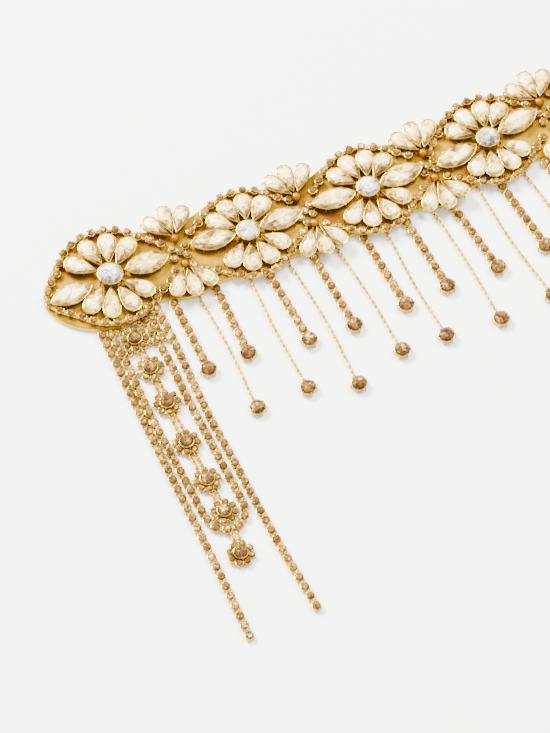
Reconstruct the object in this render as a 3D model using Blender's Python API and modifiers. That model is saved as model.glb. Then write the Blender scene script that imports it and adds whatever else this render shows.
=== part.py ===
"""Flapper headband: a scalloped gold leather band set with crystal flowers, a chain fringe and a tassel at each end.

It lies flat with its underside on z = 0, stones up. +X runs along the band at the middle flower, +Y points to
the edge without the fringe, and the origin is under the middle flower.
"""

import math

import bmesh
import bpy
from mathutils import Matrix, Vector

MM = 0.001
GAP = 0.3 * MM

# The band is an arc with the fringe on its outer side
BAND_RADIUS = 925 * MM

# A ring of small stones runs round each flower
RING_OUTER_RADIUS = 16.2 * MM
RING_WIDTH = 2.0 * MM
RING_HEIGHT = 1.3 * MM

# How far each flower's ring is from the next, from the middle flower outward
INNER_SPACING = 10.0 * MM
MIDDLE_SPACING = 9.1 * MM
OUTER_SPACING = 14.3 * MM

# The backing follows the flowers in lobes. It draws in between them, on the fringe edge with a lobe for each fan,
# and reaches further under the end flowers, where the tassels hang
BACKING_THICKNESS = 2.0 * MM
PLAIN_MARGIN = 0.6 * MM
PLAIN_NECK_DEPTH = 5.2 * MM
FRINGE_INSET = 1.6 * MM
FRINGE_NOTCH_DEPTH = 2.4 * MM
END_LOBE_EXTRA = 3.2 * MM
END_LOBE_SHARE = 0.35
TIP_MARGIN = 6.6 * MM
TIP_DROOP = 2.4 * MM
TIP_POINTEDNESS = 1.25
SCALLOP_STEPS = 8
TIP_STEPS = 12

# What a cluster's stones are set on
PLATE_THICKNESS = 0.6 * MM
SET_DEPTH = 0.3 * MM
PLATE_STEPS = 16

# Stones: the wall of the setting, the crown above it, and the table as a share of the outline
PETAL_INNER_RADIUS = 4.3 * MM
PETAL_LENGTH = 9.7 * MM
PETAL_WIDTH = 5.8 * MM
NAVETTE_LENGTH = 14.6 * MM
NAVETTE_WIDTH = 6.8 * MM
END_NAVETTE_SHIFT = 2.3 * MM
STONE_WALL = 2.0 * MM
STONE_CROWN = 1.1 * MM
TABLE_SHARE = 0.5
CENTRE_DIAMETER = 8.2 * MM
CENTRE_WALL = 3.2 * MM
CENTRE_CROWN = 1.6 * MM
ROUND_SIDES = 10

# Fans of three teardrops fill the notches between the flowers, each on a bead
FAN_BEAD_DIAMETER = 3.1 * MM
FAN_BEAD_SINK = 0.25 * MM
FAN_STONE_START = 2.2 * MM
FAN_STONE_LENGTH = 9.8 * MM
FAN_STONE_WIDTH = 5.1 * MM
FAN_STEP = math.radians(35)
FAN_PLATE_NECK = 2.0 * MM
FAN_PLATE_SPREAD = 4.0 * MM
FAN_PLATE_LENGTH = 7.4 * MM
FAN_PLATE_SHOULDER_SHARE = 0.8
BEAD_RINGS = 5

# The fringe: how far its first and last strands are from the end flowers, and how far each kind hangs
FRINGE_FIRST_OFFSET = 16.3 * MM
FRINGE_LAST_OFFSET = 22.8 * MM
CUP_CHAIN_WIDTH = 2.2 * MM
FINE_CHAIN_WIDTH = 1.2 * MM
CUP_STRAND_DROP = 27.4 * MM
FINE_STRAND_DROP = 44.4 * MM
END_STONE_DIAMETER = 5.3 * MM
END_STONE_WALL = 2.0 * MM
END_STONE_CROWN = 1.2 * MM
REST_CLEARANCE = 0.05 * MM

# The tassels
ROSETTE_DIAMETER = 8.8 * MM
ROSETTE_HEIGHT = 1.9 * MM
ROSETTE_SIDES = 10
ROSETTE_STONE_DIAMETER = 5.4 * MM
ROSETTE_STONE_WALL = 0.9 * MM
ROSETTE_STONE_CROWN = 1.1 * MM
CONNECTOR_WIDTH = 1.4 * MM
DROP_CLEARANCE = 0.4 * MM
TUBE_STEP = 7.2 * MM
MARCH_STEP = 0.1 * MM

# Half width at each share of the length, as a share of the greatest half width
TEARDROP_SHAPE = ((0.35, 0.58), (0.66, 1.0), (0.90, 0.78))
NAVETTE_SHAPE = ((0.20, 0.62), (0.50, 1.0), (0.80, 0.62))

# Turns in degrees from the band's own direction: of each navette, and the middle and step of each row of petals
FLOWER_COLUMNS = ("name", "left_angle", "right_angle", "top_angle", "top_step", "low_angle", "low_step")
FLOWERS = (
    ("flower_1", 10.4, 3.4, 92.7, 32.5, -89.2, 31.3),
    ("flower_2", -7.8, 3.3, 93.0, 30.8, -87.0, 32.0),
    ("flower_3", -5.0, 1.1, 86.0, 31.0, -89.7, 33.0),
    ("flower_4", 5.0, 8.0, 91.5, 31.5, -90.5, 30.5),
    ("flower_5", -3.0, 1.5, 92.5, 31.5, -89.0, 32.0),
    ("flower_6", 4.5, 6.0, 88.0, 31.0, -92.5, 31.5),
    ("flower_7", 1.0, -9.0, 88.5, 32.0, -91.0, 31.5),
)

# Each fan's bead sits between a flower and the next: which edge it opens to, how many degrees its middle turns,
# and in millimetres how far it is along from halfway between the flowers and out from the band's middle
FAN_COLUMNS = ("name", "after", "edge", "turn", "along", "out")
FANS = (
    ("fan_top_1", "flower_1", "plain", 2.0, 0.6, 6.1),
    ("fan_low_1", "flower_1", "fringe", 1.0, 0.6, 3.7),
    ("fan_top_2", "flower_2", "plain", 0.5, -1.6, 6.2),
    ("fan_low_2", "flower_2", "fringe", 0.0, 0.0, 4.9),
    ("fan_top_3", "flower_3", "plain", -0.5, 0.3, 4.5),
    ("fan_low_3", "flower_3", "fringe", 0.5, -0.3, 5.4),
    ("fan_top_4", "flower_4", "plain", 0.5, -0.3, 4.5),
    ("fan_low_4", "flower_4", "fringe", -0.5, 0.3, 5.4),
    ("fan_top_5", "flower_5", "plain", 0.0, 1.6, 6.2),
    ("fan_low_5", "flower_5", "fringe", 0.5, 0.0, 4.9),
    ("fan_top_6", "flower_6", "plain", -2.0, -0.6, 6.1),
    ("fan_low_6", "flower_6", "fringe", -1.0, -0.6, 3.7),
)

# Strands from left to right, cup chain and fine chain by turns: the shift of each along the band as a share of
# the fringe's pitch, how many degrees it leans to +X, how much longer it is, as a share of its drop, and how far
# its middle bows to +X, as a share of its length
STRAND_COLUMNS = ("shift", "lean", "longer", "bow")
STRANDS = (
    (0.01, -2.2, -0.031, 0.0),
    (0.06, -2.1, 0.013, 0.016),
    (-0.20, -3.2, -0.077, 0.0),
    (0.22, -1.8, -0.013, -0.013),
    (-0.04, 1.6, 0.015, 0.0),
    (-0.08, 0.1, 0.093, 0.021),
    (-0.10, 0.9, 0.031, 0.0),
    (-0.08, 2.4, -0.040, 0.012),
    (0.06, 2.3, 0.015, 0.0),
    (0.01, -0.1, -0.027, -0.016),
    (-0.10, 2.3, -0.015, 0.0),
    (0.08, 2.0, 0.013, 0.013),
    (-0.15, 6.1, 0.015, 0.0),
    (0.15, 4.5, 0.000, -0.019),
    (0.00, 6.0, 0.000, 0.0),
    (0.10, 4.5, 0.013, 0.015),
    (0.06, 2.5, -0.015, 0.0),
    (0.10, 3.5, 0.040, -0.012),
    (0.18, 1.8, 0.015, 0.0),
    (0.12, 2.8, -0.027, 0.018),
    (0.26, 0.6, 0.000, 0.0),
    (0.20, 2.2, 0.027, -0.013),
    (0.32, 1.4, 0.031, 0.0),
    (0.24, 2.6, -0.013, 0.016),
    (0.38, 2.0, -0.015, 0.0),
    (0.30, 3.4, 0.040, -0.018),
    (0.42, 2.2, 0.015, 0.0),
    (0.36, 3.0, -0.027, 0.013),
    (0.46, 3.6, -0.015, 0.0),
)

# Routes of the tassel's chains in millimetres from the backing's fringe edge under the end flower's centre,
# before they are smoothed
OUTER_CHAIN_ROUTE = (
    (-10.9, 4.8),
    (-11.4, -2.6),
    (-11.8, -10.4),
    (-12.4, -18.2),
    (-13.2, -31.2),
    (-14.0, -46.2),
    (-14.9, -64.2),
    (-15.8, -84.2),
    (-17.9, -118.1),
)
INNER_CHAIN_ROUTE = (
    (8.9, 4.8),
    (8.5, -3.5),
    (8.1, -12.2),
    (6.9, -27.2),
    (6.0, -42.2),
    (5.8, -58.2),
    (5.4, -76.2),
    (5.3, -94.2),
    (5.9, -118.0),
)
LOOP_ROUTE = (
    (-8.2, 3.8),
    (-8.6, -5.2),
    (-8.9, -13.2),
    (-9.9, -23.9),
    (-10.6, -36.2),
    (-10.9, -50.2),
    (-11.2, -64.2),
    (-11.3, -72.2),
    (-10.6, -76.5),
    (-8.4, -79.2),
    (-5.0, -80.3),
    (-1.6, -79.2),
    (0.9, -76.5),
    (1.7, -72.2),
    (2.0, -58.2),
    (2.4, -44.2),
    (2.8, -30.2),
    (3.6, -17.2),
    (3.6, -8.2),
    (3.2, 4.8),
)
ROSETTE_CENTRES = ((-2.6, -5.1), (-2.9, -16.8), (-3.7, -30.4), (-4.6, -46.0), (-4.8, -60.9), (-5.0, -73.6))
DROP_CENTRE = (-7.1, -89.4)

GOLD_LEATHER = ((0.62, 0.40, 0.11), 0.55, 0.35)
PALE_GOLD = ((0.85, 0.66, 0.34), 0.28, 1.0)
CHAMPAGNE_CRYSTAL = ((0.90, 0.82, 0.66), 0.08, 0.0)
SMOKY_STONE = ((0.45, 0.32, 0.20), 0.12, 0.0)


def named(columns, row):
    return dict(zip(columns, row))


def clear_scene():
    for old in list(bpy.data.objects):
        bpy.data.objects.remove(old, do_unlink=True)


def new_collection(name, helper=False):
    made = bpy.data.collections.new(name)
    bpy.context.scene.collection.children.link(made)
    made.hide_render = helper
    return made


def material(name, look):
    colour, roughness, metallic = look
    made = bpy.data.materials.new(name)
    made.use_nodes = True
    shader = made.node_tree.nodes["Principled BSDF"]
    shader.inputs["Base Color"].default_value = (*colour, 1)
    shader.inputs["Roughness"].default_value = roughness
    shader.inputs["Metallic"].default_value = metallic
    return made


clear_scene()
PARTS = new_collection("flapper_headband")
HELPERS = new_collection("helpers", helper=True)


def new_object(name, data, look=None, helper=False):
    made = bpy.data.objects.new(name, data)
    (HELPERS if helper else PARTS).objects.link(made)
    if helper:
        made.hide_render = True
        made.display_type = "WIRE"
    if look:
        made.data.materials.append(material(name + "_finish", look))
    return made


def mesh_of(bm, name):
    bmesh.ops.recalc_face_normals(bm, faces=bm.faces)
    mesh = bpy.data.meshes.new(name)
    bm.to_mesh(mesh)
    bm.free()
    return mesh


def join(base, bodies):
    """Fuses the bodies of a helper mesh to the base object."""
    union = base.modifiers.new("fused", "BOOLEAN")
    union.operation = "UNION"
    union.solver = "EXACT"
    union.object = bodies


def place(along, across):
    """The point at a distance along the band's arc and across it, positive to the plain edge."""
    turn = along / BAND_RADIUS
    reach = BAND_RADIUS - across
    return Vector((reach * math.sin(turn), BAND_RADIUS - reach * math.cos(turn), 0))


def frame_at(along, across, turn=0.0):
    """The frame on the band there, its X axis turned from the band's direction."""
    return Matrix.Translation(place(along, across)) @ Matrix.Rotation(along / BAND_RADIUS + turn, 4, "Z")


def flower_positions():
    steps = [2 * RING_OUTER_RADIUS + spacing for spacing in (OUTER_SPACING, MIDDLE_SPACING, INNER_SPACING)]
    left = [-sum(steps[index:]) for index in range(len(steps))]
    return left + [0.0] + [-along for along in reversed(left)]


FLOWER_ALONG = flower_positions()
PLAIN_REACH = RING_OUTER_RADIUS + PLAIN_MARGIN
FRINGE_REACH = RING_OUTER_RADIUS - FRINGE_INSET
END_REACH = FRINGE_REACH + END_LOBE_EXTRA
TIP_REACH = RING_OUTER_RADIUS + TIP_MARGIN
FRINGE_START = FLOWER_ALONG[0] + FRINGE_FIRST_OFFSET
FRINGE_PITCH = (FLOWER_ALONG[-1] - FRINGE_LAST_OFFSET - FRINGE_START) / (len(STRANDS) - 1)


def plain_scallop(share):
    """The backing's reach on the plain edge from a flower to the next: a lobe at each and a neck between."""
    return PLAIN_REACH - PLAIN_NECK_DEPTH * math.sin(math.pi * share) ** 2


def fringe_scallop(share, from_end):
    """The reach on the fringe edge: a notch on both sides of each fan, and more at the band's end."""
    extra = END_LOBE_EXTRA * max(0.0, 1 - from_end / END_LOBE_SHARE) ** 2
    return FRINGE_REACH - FRINGE_NOTCH_DEPTH * math.sin(2 * math.pi * share) ** 2 + extra


def long_edge(side):
    points = []
    last = len(FLOWER_ALONG) - 2
    for interval, (left, right) in enumerate(zip(FLOWER_ALONG, FLOWER_ALONG[1:])):
        for step in range(SCALLOP_STEPS):
            share = step / SCALLOP_STEPS
            from_end = min(interval + share, last - interval + 1 - share)
            reach = plain_scallop(share) if side > 0 else -fringe_scallop(share, from_end)
            points.append(place(left + share * (right - left), reach))
    return points[1:]


def tip(end):
    """The pointed round of one end, from the fringe edge to the plain edge; end is -1 at the left."""
    along = FLOWER_ALONG[0] if end < 0 else FLOWER_ALONG[-1]
    points = []
    for step in range(TIP_STEPS + 1):
        angle = math.pi * (step / TIP_STEPS - 0.5)
        reach = PLAIN_REACH if angle > 0 else END_REACH
        rise = math.copysign(abs(math.sin(angle)) ** TIP_POINTEDNESS, angle)
        across = reach * rise - TIP_DROOP * math.cos(angle) ** 2
        points.append(place(along + end * TIP_REACH * math.cos(angle), across))
    return points


def backing_outline():
    lower = long_edge(-1) + tip(1)
    upper = list(reversed(long_edge(1))) + list(reversed(tip(-1)))
    return lower + upper


def outline_gap(point, outline):
    """The distance from the outline, negative inside it."""
    nearest = math.inf
    inside = False
    for start, end in zip(outline, outline[1:] + outline[:1]):
        edge = end - start
        share = max(0.0, min(1.0, (point - start).dot(edge) / edge.length_squared))
        nearest = min(nearest, (start + share * edge - point).length)
        if (start.y > point.y) != (end.y > point.y):
            crossing = start.x + (point.y - start.y) / (end.y - start.y) * (end.x - start.x)
            inside ^= point.x < crossing
    return -nearest if inside else nearest


def band_gap(point, width, outline):
    """The distance from the backing, and for a chain too high to pass under them, from the overhanging rings."""
    gap = outline_gap(point, outline)
    if REST_CLEARANCE + width + GAP > PLATE_BASE:
        gap = min([gap] + [(point - place(along, 0)).length - RING_OUTER_RADIUS for along in FLOWER_ALONG])
    return gap


def start_clear(point, towards, width, outline):
    """Moves the point outward until a flat end of this width clears the band by the gap."""
    step = (towards - point).normalized() * MARCH_STEP
    side = Vector((-step.y, step.x, 0)).normalized() * width / 2
    while min(band_gap(point + offset, width, outline) for offset in (side, -side, Vector())) < GAP:
        point = point + step
    return point


def backing(outline):
    curve = bpy.data.curves.new("backing", "CURVE")
    curve.dimensions = "2D"
    curve.fill_mode = "BOTH"
    curve.extrude = BACKING_THICKNESS / 2
    spline = curve.splines.new("POLY")
    spline.points.add(len(outline) - 1)
    for knot, point in zip(spline.points, outline):
        knot.co = (point.x, point.y, 0, 1)
    spline.use_cyclic_u = True
    made = new_object("backing", curve, GOLD_LEATHER)
    made.location.z = BACKING_THICKNESS / 2


def pointed_outline(shape, length, width):
    """A stone's outline from its point at the origin along +X; a shape that narrows again ends in a point."""
    low = [(share * length, -half * width / 2) for share, half in shape]
    high = [(x, -y) for x, y in reversed(low)]
    return [(0.0, 0.0)] + low + [(length, 0.0)] + high


def round_outline(diameter, sides):
    turns = [2 * math.pi * side / sides for side in range(sides)]
    return [(diameter / 2 * math.cos(turn), diameter / 2 * math.sin(turn)) for turn in turns]


def raise_face(bm, face, height, share=1.0, keep=False):
    """Extrudes the face upward and draws it in towards its middle; a body's underside is kept."""
    middle = face.calc_center_median()
    made = bmesh.ops.extrude_face_region(bm, geom=[face])["geom"]
    if not keep:
        bmesh.ops.delete(bm, geom=[face], context="FACES_ONLY")
    corners = [item for item in made if isinstance(item, bmesh.types.BMVert)]
    for corner in corners:
        flat = (corner.co - middle) * share
        corner.co = middle + flat + Vector((0, 0, height))
    return next(item for item in made if isinstance(item, bmesh.types.BMFace))


def add_plate(bm, outline, frame, base, height):
    corners = [bm.verts.new(frame @ Vector((x, y, base))) for x, y in outline]
    return raise_face(bm, bm.faces.new(corners), height, keep=True)


def add_stone(bm, outline, frame, base, wall, crown):
    """A set stone: the wall of its setting, a facet for each side, and the table."""
    girdle = add_plate(bm, outline, frame, base, wall)
    raise_face(bm, girdle, crown, TABLE_SHARE)


PLATE_BASE = BACKING_THICKNESS + GAP
PLATE_TOP = PLATE_BASE + PLATE_THICKNESS
STONE_BASE = PLATE_TOP - SET_DEPTH


def flower_plate(name, along):
    """The round plate under a flower, with the raised ring of small stones at its rim."""
    inner = RING_OUTER_RADIUS - RING_WIDTH
    ring_top = PLATE_TOP + RING_HEIGHT
    profile = (
        (0.0, PLATE_TOP),
        (inner, PLATE_TOP),
        (inner, ring_top),
        (RING_OUTER_RADIUS, ring_top),
        (RING_OUTER_RADIUS, PLATE_BASE),
        (0.0, PLATE_BASE),
    )
    mesh = bpy.data.meshes.new(name)
    rows = range(len(profile) - 1)
    mesh.from_pydata([(radius, 0, height) for radius, height in profile], [(row, row + 1) for row in rows], [])
    made = new_object(name, mesh, CHAMPAGNE_CRYSTAL)
    made.location = place(along, 0)
    turned = made.modifiers.new("turned", "SCREW")
    turned.axis = "Z"
    turned.steps = turned.render_steps = PLATE_STEPS
    turned.use_merge_vertices = True
    turned.merge_threshold = 0.01 * MM
    return made


def flower(row, along):
    base = flower_plate(row["name"], along)
    bm = bmesh.new()
    start = Matrix.Translation((PETAL_INNER_RADIUS, 0, 0))
    navette = pointed_outline(NAVETTE_SHAPE, NAVETTE_LENGTH, NAVETTE_WIDTH)
    petal = pointed_outline(TEARDROP_SHAPE, PETAL_LENGTH, PETAL_WIDTH)
    for turn, end in ((180 + row["left_angle"], FLOWERS[0]), (row["right_angle"], FLOWERS[-1])):
        shift = END_NAVETTE_SHIFT if row["name"] == end[0] else 0.0
        frame = frame_at(along, 0, math.radians(turn)) @ start @ Matrix.Translation((shift, 0, 0))
        add_stone(bm, navette, frame, STONE_BASE, STONE_WALL, STONE_CROWN)
    for middle, step in ((row["top_angle"], row["top_step"]), (row["low_angle"], row["low_step"])):
        for place_in_row in (-1.5, -0.5, 0.5, 1.5):
            frame = frame_at(along, 0, math.radians(middle + place_in_row * step)) @ start
            add_stone(bm, petal, frame, STONE_BASE, STONE_WALL, STONE_CROWN)
    centre = round_outline(CENTRE_DIAMETER, ROUND_SIDES)
    add_stone(bm, centre, frame_at(along, 0), STONE_BASE, CENTRE_WALL, CENTRE_CROWN)
    join(base, new_object(row["name"] + "_stones", mesh_of(bm, row["name"] + "_stones"), helper=True))


def fan(row):
    """Three teardrops that point at a bead, on one plate."""
    names = [flower_row[0] for flower_row in FLOWERS]
    after = names.index(row["after"])
    along = (FLOWER_ALONG[after] + FLOWER_ALONG[after + 1]) / 2 + row["along"] * MM
    side = 1 if row["edge"] == "plain" else -1
    across = side * row["out"] * MM
    middle = math.radians(90 * side + row["turn"])
    bm = bmesh.new()
    frame = frame_at(along, across, middle)
    neck, spread, length = FAN_PLATE_NECK, FAN_PLATE_SPREAD, FAN_PLATE_LENGTH
    shoulder = length * FAN_PLATE_SHOULDER_SHARE
    plate = (
        (-neck, -neck / 2),
        (0.0, -neck),
        (shoulder, -spread),
        (length, -spread / 2),
        (length, spread / 2),
        (shoulder, spread),
        (0.0, neck),
        (-neck, neck / 2),
    )
    add_plate(bm, plate, frame, PLATE_BASE, PLATE_THICKNESS)
    base = new_object(row["name"], mesh_of(bm, row["name"]), CHAMPAGNE_CRYSTAL)
    bm = bmesh.new()
    teardrop = pointed_outline(TEARDROP_SHAPE, FAN_STONE_LENGTH, FAN_STONE_WIDTH)
    for place_in_row in (-1, 0, 1):
        turned = frame_at(along, across, middle + place_in_row * FAN_STEP)
        start = Matrix.Translation((FAN_STONE_START, 0, 0))
        add_stone(bm, teardrop, turned @ start, STONE_BASE, STONE_WALL, STONE_CROWN)
    radius = FAN_BEAD_DIAMETER / 2
    lift = Matrix.Translation((0, 0, PLATE_TOP + radius - FAN_BEAD_SINK))
    bmesh.ops.create_uvsphere(bm, u_segments=ROUND_SIDES, v_segments=BEAD_RINGS, radius=radius, matrix=frame @ lift)
    join(base, new_object(row["name"] + "_stones", mesh_of(bm, row["name"] + "_stones"), helper=True))


def smooth_route(points, step):
    """Points of a Catmull-Rom curve through the route, at most this step apart."""
    padded = [2 * points[0] - points[1]] + points + [2 * points[-1] - points[-2]]
    route = []
    for before, start, end, after in zip(padded, padded[1:], padded[2:], padded[3:]):
        pieces = max(1, round((end - start).length / step))
        for piece in range(pieces):
            t = piece / pieces
            bend = (end - before) * t + (2 * before - 5 * start + 4 * end - after) * t**2
            bend += (3 * start - before - 3 * end + after) * t**3
            route.append(start + bend / 2)
    return route + [points[-1]]


def tube(name, points, width, look, height=None):
    """A chain's plain outer form, laid along the points on the surface."""
    curve = bpy.data.curves.new(name, "CURVE")
    curve.dimensions = "3D"
    curve.bevel_depth = width / 2
    curve.bevel_resolution = 2
    curve.use_fill_caps = True
    spline = curve.splines.new("POLY")
    spline.points.add(len(points) - 1)
    level = width / 2 + REST_CLEARANCE if height is None else height
    for knot, point in zip(spline.points, points):
        knot.co = (point.x, point.y, level, 1)
    return new_object(name, curve, look)


def as_mesh(made):
    """The curve object made a mesh with its caps welded, under the same name."""
    graph = bpy.context.evaluated_depsgraph_get()
    mesh = bpy.data.meshes.new_from_object(made.evaluated_get(graph))
    name = made.name
    bm = bmesh.new()
    bm.from_mesh(mesh)
    bmesh.ops.remove_doubles(bm, verts=bm.verts, dist=0.001 * MM)
    bm.to_mesh(mesh)
    bm.free()
    curve = made.data
    bpy.data.objects.remove(made, do_unlink=True)
    bpy.data.curves.remove(curve)
    made = bpy.data.objects.new(name, mesh)
    PARTS.objects.link(made)
    return made


def strand(number, row, outline):
    """One strand of the fringe: its chain from the backing's edge to the stone at its end."""
    is_cup = number % 2 == 0
    along = FRINGE_START + (number + row["shift"]) * FRINGE_PITCH
    drop = (CUP_STRAND_DROP if is_cup else FINE_STRAND_DROP) * (1 + row["longer"])
    width = CUP_CHAIN_WIDTH if is_cup else FINE_CHAIN_WIDTH
    lean = math.radians(row["lean"])
    down = Vector((math.sin(lean), -math.cos(lean), 0))
    leave = place(along, -FRINGE_REACH)
    anchor = leave - down * FRINGE_REACH / 2
    end = leave + down * drop
    start = start_clear(anchor, end, width, outline)
    name = ("cup_strand_" if is_cup else "fine_strand_") + str(number // 2 + 1)
    points = [start, end]
    if row["bow"]:
        points.insert(1, (start + end) / 2 + Vector((-down.y, down.x, 0)) * row["bow"] * drop)
    made = as_mesh(tube(name, points, width, PALE_GOLD))
    bm = bmesh.new()
    setting = round_outline(END_STONE_DIAMETER, ROUND_SIDES)
    add_stone(bm, setting, Matrix.Translation(end), 0.0, END_STONE_WALL, END_STONE_CROWN)
    join(made, new_object(name + "_stone", mesh_of(bm, name + "_stone"), helper=True))


def rosettes(name, centres, route):
    """Rosettes along their connector: a round of small stones about a raised one."""
    height = CONNECTOR_WIDTH / 2 + 2 * REST_CLEARANCE
    made = as_mesh(tube(name, route, CONNECTOR_WIDTH, SMOKY_STONE, height))
    bm = bmesh.new()
    for centre in centres:
        frame = Matrix.Translation(centre)
        top = add_plate(bm, round_outline(ROSETTE_DIAMETER, ROSETTE_SIDES), frame, 0.0, ROSETTE_HEIGHT)
        inset = raise_face(bm, top, 0.0, ROSETTE_STONE_DIAMETER / ROSETTE_DIAMETER)
        girdle = raise_face(bm, inset, ROSETTE_STONE_WALL)
        raise_face(bm, girdle, ROSETTE_STONE_CROWN, TABLE_SHARE)
    join(made, new_object(name + "_stones", mesh_of(bm, name + "_stones"), helper=True))


def tassel(side, end, outline):
    """Two long chains, and between them a loop of chain that holds a column of rosettes and a drop."""
    edge = place(FLOWER_ALONG[0 if end < 0 else -1], 0) - Vector((0, END_REACH, 0))

    def at(point):
        return edge + Vector((-end * point[0], point[1], 0)) * MM

    for kind, route in (("outer_chain", OUTER_CHAIN_ROUTE), ("inner_chain", INNER_CHAIN_ROUTE)):
        points = [at(point) for point in route]
        points[0] = start_clear(points[0], points[1], CUP_CHAIN_WIDTH, outline)
        tube(side + "_" + kind, smooth_route(points, TUBE_STEP), CUP_CHAIN_WIDTH, PALE_GOLD)
    points = [at(point) for point in LOOP_ROUTE]
    points[0] = start_clear(points[0], points[1], CUP_CHAIN_WIDTH, outline)
    points[-1] = start_clear(points[-1], points[-2], CUP_CHAIN_WIDTH, outline)
    tube(side + "_loop", smooth_route(points, TUBE_STEP), CUP_CHAIN_WIDTH, PALE_GOLD)
    centres = [at(point) for point in ROSETTE_CENTRES]
    rosettes(side + "_rosettes", centres, centres)
    drop = at(DROP_CENTRE)
    bottom = min(points, key=lambda point: point.y)
    hang = start_clear_of_chain(bottom, drop)
    rosettes(side + "_drop", [drop], [hang, drop])


def start_clear_of_chain(bottom, drop):
    """The top of the drop's connector, just below the loop's chain."""
    down = (drop - bottom).normalized()
    return bottom + down * (CUP_CHAIN_WIDTH / 2 + DROP_CLEARANCE)


def build():
    outline = backing_outline()
    backing(outline)
    for row, along in zip(FLOWERS, FLOWER_ALONG):
        flower(named(FLOWER_COLUMNS, row), along)
    for row in FANS:
        fan(named(FAN_COLUMNS, row))
    for number, row in enumerate(STRANDS):
        strand(number, named(STRAND_COLUMNS, row), outline)
    tassel("left", -1, outline)
    tassel("right", 1, outline)


build()
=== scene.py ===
"""Looks of the flapper headband: cut stones in claw settings, chains, rosettes and gold leather."""

import math
import random
from collections import namedtuple

import bpy
from mathutils import Matrix, Vector


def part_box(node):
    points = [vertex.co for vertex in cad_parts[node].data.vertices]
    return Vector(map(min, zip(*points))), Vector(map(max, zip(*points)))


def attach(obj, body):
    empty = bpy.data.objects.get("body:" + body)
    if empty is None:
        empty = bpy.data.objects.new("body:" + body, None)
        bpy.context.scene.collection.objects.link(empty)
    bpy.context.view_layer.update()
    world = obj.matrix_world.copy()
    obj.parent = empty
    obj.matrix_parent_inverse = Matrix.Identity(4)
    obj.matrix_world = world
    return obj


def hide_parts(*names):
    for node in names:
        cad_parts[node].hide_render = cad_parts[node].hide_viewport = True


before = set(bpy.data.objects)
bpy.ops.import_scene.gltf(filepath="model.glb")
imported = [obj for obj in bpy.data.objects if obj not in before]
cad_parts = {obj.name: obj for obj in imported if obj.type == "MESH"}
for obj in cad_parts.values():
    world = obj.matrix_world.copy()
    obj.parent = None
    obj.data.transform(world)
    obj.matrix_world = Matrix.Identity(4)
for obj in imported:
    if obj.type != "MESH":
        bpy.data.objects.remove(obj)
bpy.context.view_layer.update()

MM = 0.001

# Camera: a long lens from the fringe side, at the photograph's angle
CAMERA_AZIMUTH = -26.6
CAMERA_ELEVATION = 61.0
CAMERA_DISTANCE = 6.0
PIXELS_PER_MM = 3.13
IMAGE_WIDTH, IMAGE_HEIGHT = 550, 733
MIDDLE_FLOWER_PIXEL = (488, 137)
MIDDLE_FLOWER_TOP = Vector((0, 0, 5.5 * MM))
SENSOR = 36.0
FAR_CLIP = 40.0

# The band, as the solids have it
BAND_RADIUS = 925 * MM
INNER_PITCH = 42.4 * MM
MIDDLE_PITCH = 41.5 * MM
OUTER_PITCH = 46.7 * MM
BACKING_THICKNESS = 2.0 * MM
PLAIN_REACH = 16.8 * MM
PLAIN_NECK_DEPTH = 5.2 * MM
FRINGE_REACH = 14.6 * MM
FRINGE_NOTCH_DEPTH = 2.4 * MM
END_LOBE_EXTRA = 3.2 * MM
END_LOBE_SHARE = 0.35
END_REACH = FRINGE_REACH + END_LOBE_EXTRA
TIP_REACH = 22.8 * MM
TIP_DROOP = 2.4 * MM
TIP_POINTEDNESS = 1.25
SCALLOP_STEPS = 16
TIP_STEPS = 24
EDGE_ROUND = 0.6 * MM
EDGE_SEGMENTS = 4
EDGE_ANGLE = math.radians(60)
LEATHER_CLEARANCE = 0.9 * MM

# Stones in settings
PETAL_INNER_RADIUS = 4.3 * MM
PETAL_LENGTH = 9.6 * MM
END_PETAL_LENGTH = 10.9 * MM
PETAL_WIDTH = 5.9 * MM
NAVETTE_LENGTH = 14.4 * MM
NAVETTE_WIDTH = 7.4 * MM
END_NAVETTE_SHIFT = 2.3 * MM
INNER_NAVETTE_SHIFT = 1.0 * MM
CENTRE_DIAMETER = 7.3 * MM
END_CENTRE_DIAMETER = 8.0 * MM
STONE_GAP = 0.1 * MM
STONE_SEAT = 2.5 * MM
STONE_GIRDLE = 4.5 * MM
STONE_CROWN = 1.2 * MM
CENTRE_GIRDLE = 5.7 * MM
CENTRE_CROWN = 1.7 * MM
FOUR_RANKS = (-1.5, -0.5, 0.5, 1.5)
THREE_RANKS = (-1, 0, 1)
PETAL_TURN_PLAY = 1.5
FIRST_SEED = 100

# The metal round each stone: its foot and lip, the lip's heights from the girdle, and how far its claws reach over
RIM_WIDTH = 0.2 * MM
FOOT_SHARE = 0.88
LIP_DEPTH = 0.45 * MM
LIP_EDGE = 0.02 * MM
LIP_RISE = 0.10 * MM
LIP_INNER_SHARE = 0.96
LIP_DROP = 0.05 * MM
CLAW_RISE = 0.30 * MM

# How each stone is cut between girdle and table, and the range of tones of its facets, from 0 dark to 1 light. The
# tones paint light and shade over the stone's own colour: painted shade on the back, the girdle and the lower crown
# facets, painted highlights on most table facets and painted dark reflections on the rest
GIRDLE_DEPTH_SHARE = 0.25
BREAK_SHARE = 0.78
BREAK_HEIGHT_SHARE = 0.62
SUMMIT_PLAY = 0.2
BACK_TONE = 0.3
GIRDLE_TONE = 0.1
FACET_TONES = ((0.0, 0.5), (0.05, 0.6), (0.2, 1.0), (0.2, 0.9))
BRIGHT_TONES = (0.5, 1.0)
DARK_TONES = (0.15, 0.5)
BRIGHT_SHARE = 0.8

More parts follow.
